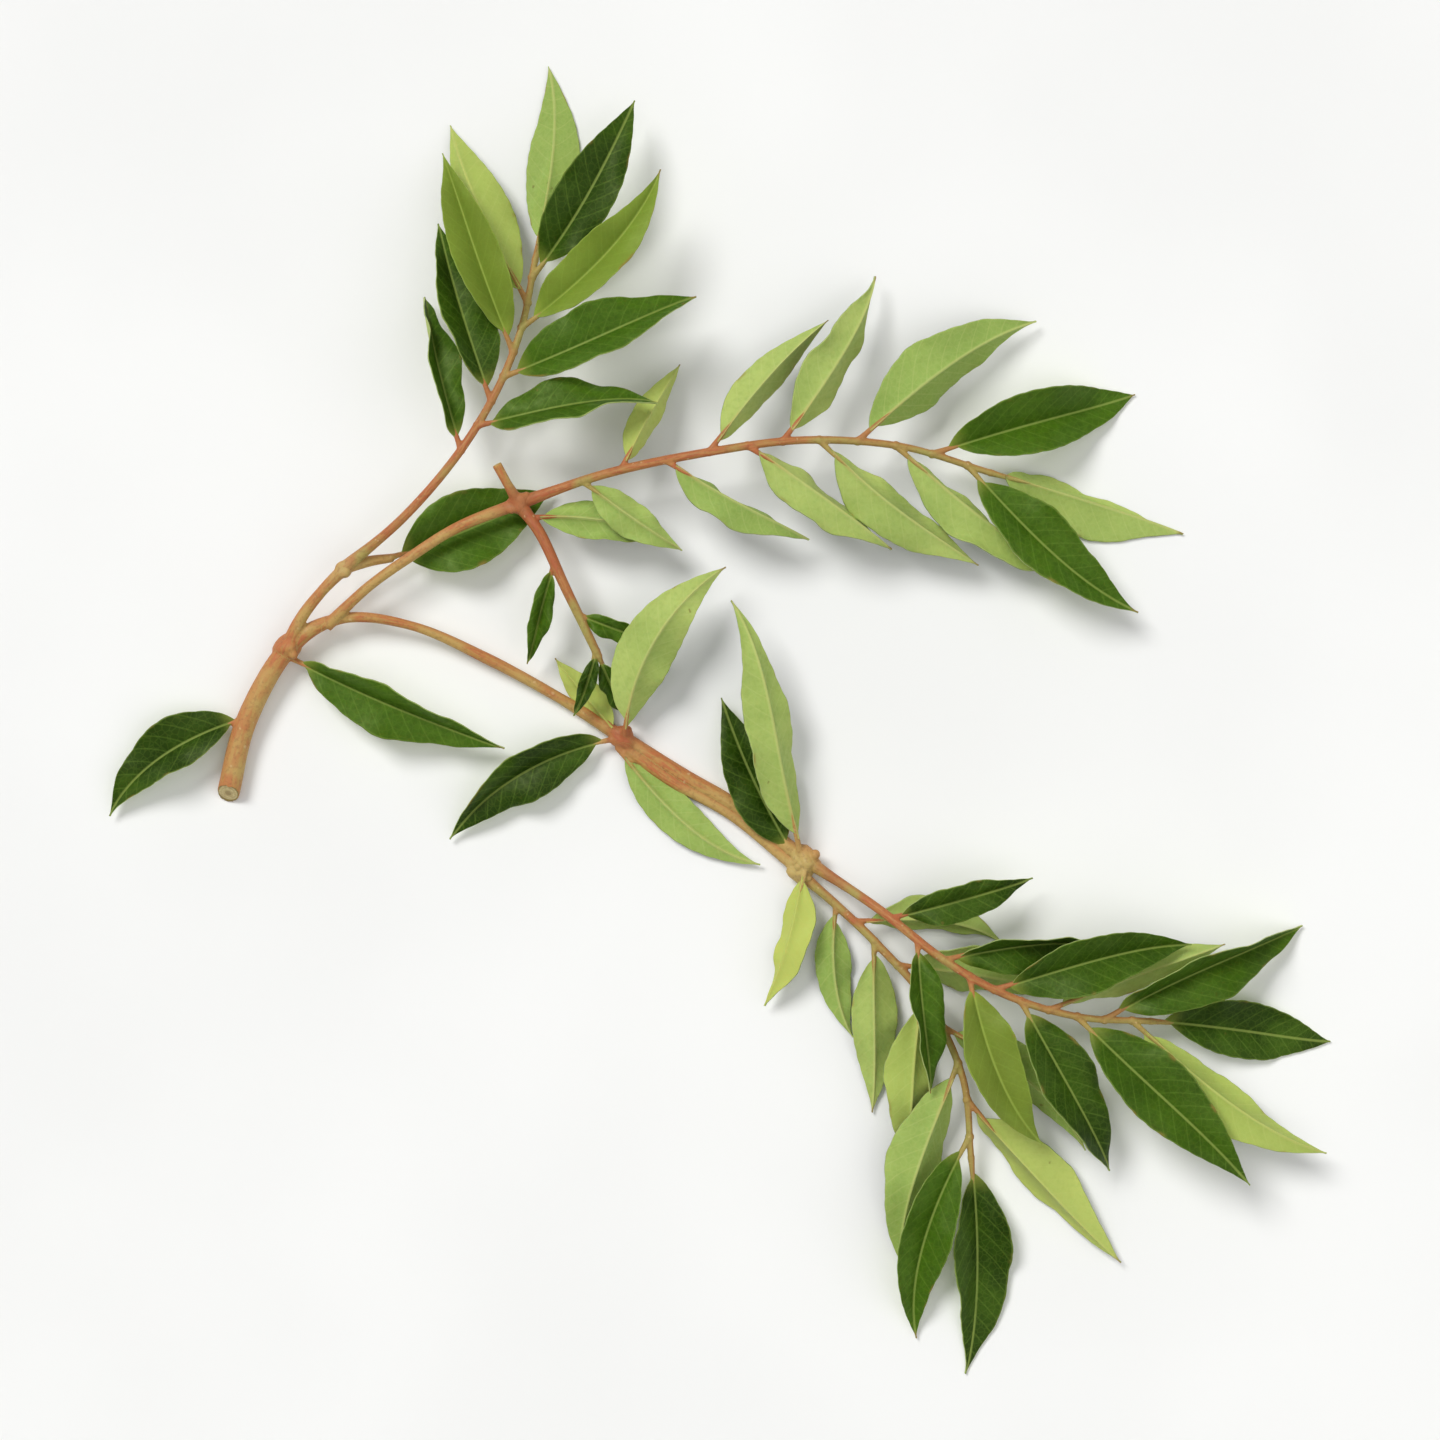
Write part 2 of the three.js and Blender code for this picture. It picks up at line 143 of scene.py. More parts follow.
FRONDS = [
    dict(name="frond_upper_left", seed=181, leaflets=8, start=0.42, length=25, lowest=0.5, face=0, first=1,
         path=[(-38, 23.4, 4.8), (-31.2, 29, 6.8), (-25.2, 35.8, 7.8), (-20.8, 43, 7.4), (-18, 50.4, 6),
               (-16.6, 58, 4.2)],
         left=dict(lift=8, droop=36, roll=18), right=dict(lift=16, droop=24, roll=20)),
    dict(name="frond_top", seed=355, leaflets=11, start=0.14, length=26, lowest=0.45, face=180, first=-1,
         path=[(-18.4, 30.7, 4.7), (-8, 34, 7.4), (4, 36.4, 8.2), (14, 37.6, 7.8), (24.6, 37, 6),
               (34.6, 34.2, 4.2)],
         left=dict(lift=2, droop=30, roll=18), right=dict(lift=6, droop=22, roll=20)),
    dict(name="frond_short", seed=1106, leaflets=4, start=0.12, length=8.4, lowest=2.2, face=0, first=1,
         stout=1.25,
         path=[(-18.4, 30.7, 4.7), (-15.8, 27, 5.7), (-13.3, 21.6, 6), (-11, 16.8, 5.4), (-9.4, 13.4, 4.5)],
         left=dict(lift=0, droop=8, roll=12), right=dict(lift=2, droop=14, roll=12)),
    dict(name="frond_right", seed=68, leaflets=10, start=0.24, length=26, lowest=0.45, face=0, first=1,
         path=[(14, -9.6, 1.5), (21.9, -14.8, 5.2), (29.4, -20.6, 7.2), (36.6, -24.6, 7.4),
               (44.6, -27, 6.2), (52.6, -27.6, 4.4)],
         left=dict(lift=4, droop=28, roll=20), right=dict(lift=12, droop=24, roll=20)),
    dict(name="frond_bottom", seed=478, leaflets=9, start=0.2, length=25, lowest=0.5, face=180, first=-1,
         path=[(13.3, -11.1, 1.4), (17.4, -14.6, 2.2), (22, -19, 3.2), (27.6, -25.4, 4.4), (31.6, -34, 4.2),
               (32.6, -43, 3)],
         left=dict(lift=0, droop=22, roll=18), right=dict(lift=6, droop=30, roll=18)),
]

# ---- The fine leaflet ----
ROWS, ROW_CROWDING = 64, 0.92  # stations along a blade, which lie closer towards its tip
COLUMNS = (0, 0.05, 0.12, 0.24, 0.4, 0.58, 0.74, 0.87, 0.95, 1)  # rib to edge, as shares of the half width
THICK_AT_RIB, THICK_AT_EDGE = 0.3, 0.16
RIB_HEIGHT, RIB_WIDTH, GROOVE = 0.36, 0.2, 0.08
RIB_ROUNDING = 0.05  # how softly the two halves meet at the rib
FOLD_GROWS_IN = 0.2  # the share of the length over which the fold opens to its full angle
BULGE = 0.3  # each half of the blade arches up a little between rib and edge
CUPPING = (-0.25, 0.7)  # how far the last of the margin turns up or down, in millimetres
CUP_FROM = 0.55  # where that turn starts, as a share of the half width
LOPSIDED = 0.08  # one half of a blade is a little wider than the other
OBLIQUE = 0.05  # and starts a little further up the rib
CRIMP_HEIGHT, CRIMP_LENGTH = 0.13, 4.3  # the small ripples of the margin
SCALLOP_HEIGHT, SCALLOP_LENGTH = 0.09, 1.9  # the faint teeth along the edge
VEIN_SPACING, VEIN_SLANT, VEIN_BEND, VEIN_WIDTH, VEIN_RELIEF = 2.1, 0.9, 0.06, 0.3, 0.04
FINE_TIP = 0.08
YELLOWED, YELLOWED_SHARE = 0.4, 0.12  # how yellow the ageing leaflets are, and how many of all
PATTERN_STEP = 7.3  # how far apart in the same noise two leaflets take their patterns
TRAIT_KEYS = dict(lopsided=0.53, oblique=0.61, left_cup=0.11, right_cup=0.19, tone=0.37, yellow=0.71)
FROND_NUMBERS = 20  # leaflet numbers set aside for each frond

# ---- Stems ----
STEM_SIDES, STALK_SIDES = 18, 12
TWIG_RINGS, RINGS_PER_SPAN, RACHIS_RINGS, STALK_RINGS = 120, 16, 90, 14
TWIG_VOXEL, RACHIS_VOXEL = 0.14, 0.11
RACHIS_SIDES, RACHIS_STATIONS = 14, 25
STALK_RADII = [0.44, 0.34, 0.3, 0.27, 0.19, 0.08]
STALK_REACH = 0.2  # how far a stalk runs on under the blade before it is lost in the rib
STALK_BUMP = 0.54  # the radius of the small swelling where a stalk leaves its rachis
LUMP_PITCH = 4.3  # how closely the lumps of a node follow each other
CUT_REACH, CUT_FACING = 1.7, 0.55  # which faces at a stem's end are its cut: how near and how square
STEM_STATIONS, POINTS_AT_ONCE = 240, 4000  # for finding each point's place along a stem
STEM_STEP = 10.0  # keeps the shares of several stems in one mesh apart
LOWEST_POINT = 0.02  # nothing reaches lower than this above the table

# ---- Stage ----
TABLE_REACH, SWEEP, TABLE_SIDES, SWEEP_STEPS = 1600, 600, 96, 16
LIGHTS = [  # name, where it shines from, how wide it looks in degrees, and its strength
    ("key_light", (-0.45, 0.5, 0.8), 24, 2.1),
    ("fill_light", (0.7, -0.2, 0.7), 48, 0.5),
    ("top_light", (0.1, -0.1, 1.2), 54, 0.6),
]
SKY_COLOUR, SKY_STRENGTH = (0.98, 0.99, 1, 1), 0.24
LENS, SENSOR, VIEW_MARGIN = 100, 36, 1.1


# ---- Small helpers ----
def draw(key, low, high):
    """A draw between low and high that is the same for the same key on every run."""
    raw = math.sin(key * 12.9898) * 43758.5453
    return low + (high - low) * (raw - math.floor(raw))


def along(values, share):
    """The value at share of the way along a list of evenly spaced values."""
    return np.interp(share, np.linspace(0, 1, len(values)), values)


def curve_points(path, shares):
    """Points on the Catmull-Rom curve through a path, as in the frame's own source."""
    p = np.array(path, float)
    p = np.vstack([2 * p[0] - p[1], p, 2 * p[-1] - p[-2]])
    spans = len(path) - 1
    place = np.clip(np.asarray(shares, float), 0, 1) * spans
    index = np.minimum(place.astype(int), spans - 1)
    t = (place - index)[:, None]
    a, b, c, d = (p[index + k] for k in range(4))
    out, back = (c - a) / 2, (d - b) / 2
    return b + out * t + (-3 * b + 3 * c - 2 * out - back) * t**2 + (2 * b - 2 * c + out + back) * t**3


def curve_tangents(path, shares):
    """The directions in which the curve runs."""
    shares = np.asarray(shares, float)
    step = 1e-4
    before = curve_points(path, np.maximum(shares - step, 0))
    ahead = curve_points(path, np.minimum(shares + step, 1)) - before
    return ahead / np.linalg.norm(ahead, axis=1)[:, None]


def settle(height):
    """A drooping blade levels out on the table instead of passing through it."""
    floor = BLADE_THICK / 2
    return floor + SETTLE * np.log1p(np.exp((height - floor) / SETTLE))


# ---- Where the leaflets grow ----
def leaflets_of(frond):
    """The leaflets of a frond: alternate ones along the rachis, and one that carries on from its tip."""
    made = []
    count = frond["leaflets"]
    for k in range(count + 1):
        at_tip = k == count
        share = 1 if at_tip else frond["start"] + (0.95 - frond["start"]) * k / (count - 1)
        side = 0 if at_tip else frond["first"] * (-1 if k % 2 else 1)
        habit = frond["right"] if side < 0 else frond["left"]
        tangent = curve_tangents(frond["path"], [share])[0]
        key = 100 * frond["seed"] + 9 * k
        angle = SPREAD_AT_FOOT + (SPREAD_AT_TIP - SPREAD_AT_FOOT) * share
        spread = side * (angle + draw(key, -SPREAD_JITTER, SPREAD_JITTER))
        flip = 180 if draw(key + 1, 0, 1) < FLIPPED else 0
        growth = frond["lowest"] + (1 - frond["lowest"]) * math.sin(math.pi / 2 * share)
        length = frond["length"] * growth * draw(key + 8, 0.93, 1.07)
        slope = math.degrees(math.asin(tangent[2]))
        made.append(dict(
            at=curve_points(frond["path"], [share])[0],
            turn=math.degrees(math.atan2(tangent[1], tangent[0])) + spread,
            sway=-side * 12 + draw(key + 2, -14, 14),
            hook=draw(key + 2.5, -24, 24),
            lift=slope if at_tip else habit["lift"] + draw(key + 3, -4, 4),
            droop=habit["droop"] * (0.6 if at_tip else 1) + draw(key + 4, -6, 6),
            curl=draw(key + 3.5, -10, 30),
            roll=frond["face"] + flip + side * habit["roll"] + draw(key + 5, -15, 15),
            twist=draw(key + 6, -38, 38),
            fold=draw(key + 7, 14, 44),
            length=length,
            width=length / SLENDERNESS * draw(key + 8.5, 0.9, 1.12),
            phase=key,
        ))
    return made


def headings(leaflet, share):
    """The direction of a leaflet's rib at each share of its length, and the one square above it."""
    turn = np.radians(leaflet["turn"] + leaflet["sway"] * share + leaflet["hook"] * share**3)
    slope = np.radians(leaflet["lift"] - leaflet["droop"] * share - leaflet["curl"] * share**3)
    level, rise = np.cos(slope), np.sin(slope)
    ahead = np.stack([level * np.cos(turn), level * np.sin(turn), rise], -1)
    above = np.stack([-rise * np.cos(turn), -rise * np.sin(turn), level], -1)
    return ahead, above


def rib_frames(leaflet, shares):
    """The place, facing and crosswise direction of a leaflet's rib at each share of its length."""
    steps = np.diff(shares, prepend=0)
    middles = shares - steps / 2
    ahead, _ = headings(leaflet, middles)
    place = np.array(leaflet["at"], float) + np.cumsum(ahead * (steps * leaflet["length"])[:, None], 0)
    ahead, above = headings(leaflet, shares)
    across = np.cross(ahead, above)
    roll = np.radians(leaflet["roll"] + leaflet["twist"] * shares)[:, None]
    facing = above * np.cos(roll) + across * np.sin(roll)
    return place, facing, across * np.cos(roll) - above * np.sin(roll)


def half_width(shares, widest):
    """Half a blade's width: a lance shape that rises from the stalk and narrows to a fine tip."""
    s = np.clip((shares - STALK) / (1 - STALK), 0, 1)
    peak = OUTLINE_RISE / (OUTLINE_RISE + OUTLINE_FALL)
    lance = (s / peak) ** OUTLINE_RISE * ((1 - s) / (1 - peak)) ** OUTLINE_FALL
    return np.maximum(widest * lance, FINE_TIP)


def trait(number, name, low, high):
    """One trait of a leaflet, drawn for its number."""
    return draw(number + TRAIT_KEYS[name], low, high)


def fine_blade(leaflet, number):
    """Vertices, faces, the faces' material numbers and the leaf coordinates of one leaflet."""
    shares = STALK + (1 - STALK) * np.linspace(0, 1, ROWS) ** ROW_CROWDING
    w = np.array([-c for c in COLUMNS[:0:-1]] + list(COLUMNS))
    place, facing, across = rib_frames(leaflet, shares)
    u = (shares - STALK) * leaflet["length"]
    side = np.sign(w)
    lopsided = 1 + side * trait(number, "lopsided", -LOPSIDED, LOPSIDED)
    lean = trait(number, "oblique", -OBLIQUE, OBLIQUE)
    widest = leaflet["width"] / 2
    left, right = (half_width(shares - max(late, 0) * (1 - shares), widest) for late in (lean, -lean))
    half = np.where(w < 0, left[:, None], right[:, None])
    fill = half / widest
    teeth = np.abs(np.sin(math.pi * (u / SCALLOP_LENGTH + leaflet["phase"])))[:, None]
    x = lopsided * w * half + side * np.abs(w) ** 8 * SCALLOP_HEIGHT * teeth * np.sqrt(fill)
    wave = WAVE_HEIGHT * np.sin(math.pi * shares)[:, None] * np.sin(
        2 * math.pi * WAVE_TURNS * shares[:, None] + leaflet["phase"] + side)
    crimp = CRIMP_HEIGHT * np.sin(2 * math.pi * u[:, None] / CRIMP_LENGTH + 2 * leaflet["phase"] * side)
    fold = np.radians(leaflet["fold"]) * np.minimum(1, shares / FOLD_GROWS_IN)[:, None]
    soft = np.sqrt(w**2 + RIB_ROUNDING**2) - RIB_ROUNDING
    arch = BULGE * 4 * np.abs(w) * (1 - np.abs(w)) * fill
    cups = [trait(number, name, *CUPPING) for name in ("left_cup", "right_cup")]
    cup = np.where(w < 0, *cups) * np.clip((np.abs(w) - CUP_FROM) / (1 - CUP_FROM), 0, 1) ** 2
    cup = cup * np.sin(math.pi * shares)[:, None] * fill
    height = soft * half * np.sin(fold) + np.abs(w) ** 1.5 * wave + np.abs(w) ** 3 * fill * crimp
    height = height + arch + cup
    middle = place[:, None] + across[:, None] * (x * np.cos(fold))[..., None]
    middle = middle + facing[:, None] * height[..., None]
    middle[..., 2] = settle(middle[..., 2])

    thick = THICK_AT_RIB + (THICK_AT_EDGE - THICK_AT_RIB) * np.abs(w)
    nerve = (u[:, None] - np.abs(x) * VEIN_SLANT - VEIN_BEND * x**2) / VEIN_SPACING
    off = np.abs(nerve - np.round(nerve)) * VEIN_SPACING
    vein = np.exp(-(off / VEIN_WIDTH) ** 2) * np.clip(np.abs(w) * 6, 0, 1) * (1 - w**6)
    taper = (1 - shares)[:, None] ** 0.7
    rib = np.exp(-(x / (RIB_WIDTH * (0.4 + 0.6 * taper))) ** 2) * taper
    top = thick / 2 - GROOVE * rib - VEIN_RELIEF * 0.6 * vein
    low = thick / 2 + RIB_HEIGHT * rib + VEIN_RELIEF * vein
    upper = middle + facing[:, None] * top[..., None]
    under = middle - facing[:, None] * low[..., None]
    upper[..., 2] = np.maximum(upper[..., 2], LOWEST_POINT)
    under[..., 2] = np.maximum(under[..., 2], LOWEST_POINT)

    count = len(w)
    verts = np.vstack([upper.reshape(-1, 3), under.reshape(-1, 3)])
    below = ROWS * count
    faces, looks = [], []
    for i in range(ROWS - 1):
        for j in range(count - 1):
            a, b = i * count + j, i * count + j + 1
            c, d = a + count, b + count
            faces += [(a, c, d, b), (below + a, below + b, below + d, below + c)]
            looks += [0, 1]
        for j, turned in ((0, False), (count - 1, True)):
            a, c = i * count + j, (i + 1) * count + j
            rim = (a, below + a, below + c, c)
            faces.append(rim[::-1] if turned else rim)
            looks.append(2)
    for i, turned in ((0, True), (ROWS - 1, False)):
        row = [i * count + j for j in range(count)]
        end = row + [below + v for v in reversed(row)]
        faces.append(tuple(end[::-1] if turned else end))
        looks.append(2)
    tone = leaflet.get("tone", trait(number, "tone", 0, 1))
    aged = trait(number, "yellow", 0, 1) > 1 - YELLOWED_SHARE
    yellow = leaflet.get("yellow", YELLOWED if aged else 0)
    spread = np.broadcast_to
    marks = [
        (spread(u[:, None], x.shape), x, np.full(x.shape, PATTERN_STEP * number)),
        (np.full(x.shape, tone), spread(shares[:, None], x.shape), spread(np.abs(w), x.shape)),
        (np.full(x.shape, yellow), np.zeros(x.shape), np.zeros(x.shape)),
    ]
    marks = [np.tile(np.stack(mark, -1).reshape(-1, 3), (2, 1)) for mark in marks]
    return verts, faces, looks, marks


# ---- Meshes ----
def joined(solids):
    """The vertices and faces of several meshes as those of one."""
    verts, faces, start = [], [], 0
    for v, f in solids:
        verts.append(v)
        faces += [tuple(start + i for i in face) for face in f]
        start += len(v)
    return np.vstack(verts), faces


def add_object(name, verts, faces):
    """A smooth object from millimetres."""
    mesh = bpy.data.meshes.new(name)
    mesh.from_pydata((np.asarray(verts) * MM).tolist(), [], [tuple(f) for f in faces])
    mesh.update()
    mesh.validate()
    for polygon in mesh.polygons:
        polygon.use_smooth = True
    piece = bpy.data.objects.new(name, mesh)
    bpy.context.scene.collection.objects.link(piece)
    return piece


def set_vectors(mesh, name, values):
    """Three numbers for each point of a mesh, which the materials read by name."""
    layer = mesh.attributes.new(name, "FLOAT_VECTOR", "POINT")
    layer.data.foreach_set("vector", np.asarray(values, np.float32).ravel())


def blades_object(name, leaflets, first_number):
    """Every leaflet blade of a frond in one mesh."""
    blades = [fine_blade(leaflet, first_number + k) for k, leaflet in enumerate(leaflets)]
    piece = add_object(name, *joined((verts, faces) for verts, faces, _, _ in blades))
    looks = [look for blade in blades for look in blade[2]]
    marks = zip(*(blade[3] for blade in blades))
    for layer, values in zip(("leaf_place", "leaf_tone", "leaf_age"), marks):
        set_vectors(piece.data, layer, np.vstack(values))
    for material in (LEAF_UPPER, LEAF_UNDER, LEAF_MARGIN):
        piece.data.materials.append(material)
    piece.data.polygons.foreach_set("material_index", looks)
    return piece


def tube(path, radii, rings, sides=STEM_SIDES, lean=0):
    """A round stem through a path: vertices and faces, with both ends closed."""
    shares = np.linspace(0, 1, rings)
    centre = curve_points(path, shares)
    ahead = curve_tangents(path, shares)
    across = np.cross(ahead, (0, 0, 1))
    across /= np.linalg.norm(across, axis=1)[:, None]
    above = np.cross(across, ahead)
    angle = np.linspace(0, 2 * math.pi, sides, endpoint=False)
    radius = along(radii, shares)[:, None, None]
    ring = centre[:, None] + radius * (
        across[:, None] * np.cos(angle)[:, None] + above[:, None] * np.sin(angle)[:, None])
    ring[0] += ahead[0] * (lean * np.sin(angle))[:, None]
    ring[..., 2] = np.maximum(ring[..., 2], LOWEST_POINT)
    verts = ring.reshape(-1, 3)
    faces = []
    for i in range(rings - 1):
        for j in range(sides):
            a, b = i * sides + j, i * sides + (j + 1) % sides
            faces.append((a, b, b + sides, a + sides))
    faces.append(tuple(range(sides))[::-1])
    faces.append(tuple((rings - 1) * sides + j for j in range(sides)))
    return verts, faces


def ball(centre, radius, rings=12, sides=18, heading=0, stretch=1, lumps=0):
    """A closed ball, which may be stretched along a level heading and uneven by a share of its radius."""
    tilt, turn = np.meshgrid(np.linspace(0, math.pi, rings + 1)[1:-1],
                             np.linspace(0, 2 * math.pi, sides, endpoint=False), indexing="ij")
    out = np.stack([np.sin(tilt) * np.cos(turn), np.sin(tilt) * np.sin(turn), -np.cos(tilt)], -1)
    out = np.vstack([(0, 0, -1), out.reshape(-1, 3), (0, 0, 1)])
    uneven = 1 + lumps * np.sin(LUMP_PITCH * out + centre).sum(1)
    out *= (radius * uneven)[:, None]
    way = np.array([math.cos(math.radians(heading)), math.sin(math.radians(heading)), 0])
    verts = centre + out + (stretch - 1) * (out @ way)[:, None] * way
    verts[:, 2] = np.maximum(verts[:, 2], LOWEST_POINT)
    faces = [(0, 1 + (j + 1) % sides, 1 + j) for j in range(sides)]
    for i in range(rings - 2):
        for j in range(sides):
            a, b = 1 + i * sides + j, 1 + i * sides + (j + 1) % sides
            faces.append((a, b, b + sides, a + sides))
    top = len(verts) - 1
    faces += [(top, top - sides + j, top - sides + (j + 1) % sides) for j in range(sides)]
    return verts, faces


def stalk(leaflet):
    """A leaflet's own stalk, which runs on a little way under its blade."""
    shares = np.linspace(0, STALK_REACH, 6)
    place, facing, _ = rib_frames(leaflet, shares)
    sink = np.interp(shares, [0, STALK, STALK_REACH], [0, 0.05, 0.34])
    path = place - facing * sink[:, None]
    path[:, 2] = np.maximum(settle(path[:, 2]), 0.2)
    return tube([tuple(p) for p in path], STALK_RADII, STALK_RINGS, STALK_SIDES)


def drop_crumbs(mesh):
    """Deletes the specks that the voxels leave beside the thin ends of stalks, so that one body is left."""
    grid = bmesh.new()
    grid.from_mesh(mesh)
    unseen = set(grid.verts)
    bodies = []
    while unseen:
        front = [unseen.pop()]
        body = list(front)
        while front:
            around = {edge.other_vert(point) for point in front for edge in point.link_edges}
            front = list(around & unseen)
            unseen.difference_update(front)
            body += front
        bodies.append(body)
    bodies.sort(key=len)
    crumbs = [point for body in bodies[:-1] for point in body]
    bmesh.ops.delete(grid, geom=crumbs, context="VERTS")
    grid.to_mesh(mesh)
    grid.free()


def melted(name, solids, voxel):
    """Overlapping closed solids joined in one skin, with soft fillets where they meet."""
    piece = add_object(name, *joined(solids))
    remesh = piece.modifiers.new("join", "REMESH")
    remesh.mode = "VOXEL"
    remesh.voxel_size = voxel * MM
    remesh.use_smooth_shade = True
    smooth = piece.modifiers.new("soften", "SMOOTH")
    smooth.factor = 0.5
    smooth.iterations = 3
    graph = bpy.context.evaluated_depsgraph_get()
    made = bpy.data.meshes.new_from_object(piece.evaluated_get(graph))
    drop_crumbs(made)
    piece.modifiers.clear()
    piece.data = made
    made.name = name
    return piece


def mark_stem(piece, stems):
    """Writes each point's place along and round the nearest path, its blush and its depth."""
    mesh = piece.data
    points = np.empty(len(mesh.vertices) * 3, np.float32)
    mesh.vertices.foreach_get("co", points)
    points = points.reshape(-1, 3) / MM
    best = np.full(len(points), np.inf)
    place = np.zeros((len(points), 3))
    spot = np.zeros((len(points), 3))
    for number, (path, radii) in enumerate(stems):
        shares = np.linspace(0, 1, STEM_STATIONS)
        line = curve_points(path, shares)
        ahead = curve_tangents(path, shares)
        walked = np.concatenate([[0], np.cumsum(np.linalg.norm(np.diff(line, axis=0), axis=1))])
        radius = along(radii, shares)
        for chunk in range(0, len(points), POINTS_AT_ONCE):
            some = points[chunk:chunk + POINTS_AT_ONCE]
            gap = np.linalg.norm(some[:, None] - line[None], axis=2)
            nearest = gap.argmin(1)
            distance = gap[np.arange(len(some)), nearest]
            out = some - line[nearest]
            across = np.cross(ahead[nearest], (0, 0, 1))
            round_it = np.arctan2(out[:, 2], (out * across).sum(1))
            closer = distance < best[chunk:chunk + POINTS_AT_ONCE]
            rows = np.nonzero(closer)[0] + chunk
            numbered = shares[nearest] + STEM_STEP * number
            place[rows] = np.stack([walked[nearest], round_it, numbered], 1)[closer]
            spot[rows, 1] = (distance / radius[nearest])[closer]
            best[rows] = distance[closer]
    for centre, reach, strength in BLUSHES:
        away = np.linalg.norm(points - centre, axis=1)
        spot[:, 0] += strength * np.exp(-(away / reach) ** 2)
    set_vectors(mesh, "stem_place", place)
    set_vectors(mesh, "stem_spot", spot)


def mark_cut(bark, path, radius, end):
    """Gives the face where a stem was cut or broke off its own material."""
    centre = Vector(path[-1 if end else 0]) * MM
    outward = Vector(curve_tangents(path, [end])[0]) * (1 if end else -1)
    for face in bark.data.polygons:
        near = (face.center - centre).length < CUT_REACH * radius * MM
        if near and face.normal.dot(outward) > CUT_FACING:
            face.material_index = 1


# ---- Materials ----
def srgb(red, green, blue):
    """A colour of 0 to 255 per channel as the linear numbers that Blender wants."""
    def linear(value):
        value /= 255
        return value / 12.92 if value <= 0.04045 else ((value + 0.055) / 1.055) ** 2.4
    return (linear(red), linear(green), linear(blue), 1)


class Nodes:
    """Short ways to write a material's node tree."""

    def __init__(self, name):
        self.material = bpy.data.materials.new(name)
        self.material.use_nodes = True
        self.tree = self.material.node_tree
        self.shader = self.tree.nodes["Principled BSDF"]

    def link(self, value, socket):
        if hasattr(value, "is_output"):
            self.tree.links.new(value, socket)
        else:
            socket.default_value = value

    def math(self, operation, first, second=0.0):
        node = self.tree.nodes.new("ShaderNodeMath")
        node.operation = operation
        for socket, value in zip(node.inputs, (first, second)):
            self.link(value, socket)
        return node.outputs[0]

    def steps(self, value, low, high, start=0.0, end=1.0):
        """value from low..high to start..end, held at both ends, with a smooth turn."""
        node = self.tree.nodes.new("ShaderNodeMapRange")
        node.interpolation_type = "SMOOTHSTEP"
        for socket, number in zip(node.inputs, (value, low, high, start, end)):
            self.link(number, socket)
        return node.outputs[0]

    def split(self, name):
        """The three numbers of a mesh attribute, and the attribute itself as a place."""
        attribute = self.tree.nodes.new("ShaderNodeAttribute")
        attribute.attribute_name = name
        parts = self.tree.nodes.new("ShaderNodeSeparateXYZ")
        self.link(attribute.outputs["Vector"], parts.inputs[0])
        return (*parts.outputs, attribute.outputs["Vector"])

    def place(self):
        return self.tree.nodes.new("ShaderNodeTexCoord").outputs["Object"]

    def noise(self, where, scale, detail=3.0, roughness=0.5):
        node = self.tree.nodes.new("ShaderNodeTexNoise")
        self.link(where, node.inputs["Vector"])
        node.inputs["Scale"].default_value = scale
        node.inputs["Detail"].default_value = detail
        node.inputs["Roughness"].default_value = roughness
        return node.outputs["Fac"]

    def cells(self, where, scale, feature="DISTANCE_TO_EDGE"):
        node = self.tree.nodes.new("ShaderNodeTexVoronoi")
        node.feature = feature
        self.link(where, node.inputs["Vector"])
        node.inputs["Scale"].default_value = scale
        return node.outputs["Distance"]

    def warped(self, where, scale, reach):
        """A place pushed about by noise, which makes round spots ragged."""
        node = self.tree.nodes.new("ShaderNodeTexNoise")
        self.link(where, node.inputs["Vector"])
        node.inputs["Scale"].default_value = scale
        push = self.tree.nodes.new("ShaderNodeVectorMath")
        push.operation = "MULTIPLY_ADD"
        self.link(node.outputs["Color"], push.inputs[0])
        push.inputs[1].default_value = (reach, reach, reach)
        self.link(where, push.inputs[2])
        return push.outputs[0]

    def vector(self, x, y, z):
        node = self.tree.nodes.new("ShaderNodeCombineXYZ")
        for socket, value in zip(node.inputs, (x, y, z)):
            self.link(value, socket)
        return node.outputs[0]

    def mix(self, share, first, second):
        node = self.tree.nodes.new("ShaderNodeMix")
        node.data_type = "RGBA"
        self.link(share, node.inputs["Factor"])
        self.link(first, node.inputs["A"])
        self.link(second, node.inputs["B"])
        return node.outputs["Result"]

    def bump(self, height, strength, distance):
        node = self.tree.nodes.new("ShaderNodeBump")
        node.inputs["Strength"].default_value = strength
        node.inputs["Distance"].default_value = distance
        self.link(height, node.inputs["Height"])
        self.link(node.outputs["Normal"], self.shader.inputs["Normal"])

    def finish(self, **sockets):
        for name, value in sockets.items():
            self.link(value, self.shader.inputs[name.replace("_", " ")])
        return self.material


def vein_lines(n, u, v, width):
    """1 on a side vein and 0 between: lines that slant from the rib towards the tip."""
    out = n.math("ABSOLUTE", v)
    bent = n.math("MULTIPLY", n.math("MULTIPLY", v, v), VEIN_BEND)
    slanted = n.math("SUBTRACT", n.math("SUBTRACT", u, n.math("MULTIPLY", out, VEIN_SLANT)), bent)
    distance = n.math("PINGPONG", n.math("DIVIDE", slanted, VEIN_SPACING), 0.5)
    return n.steps(distance, 0, width, 1, 0)


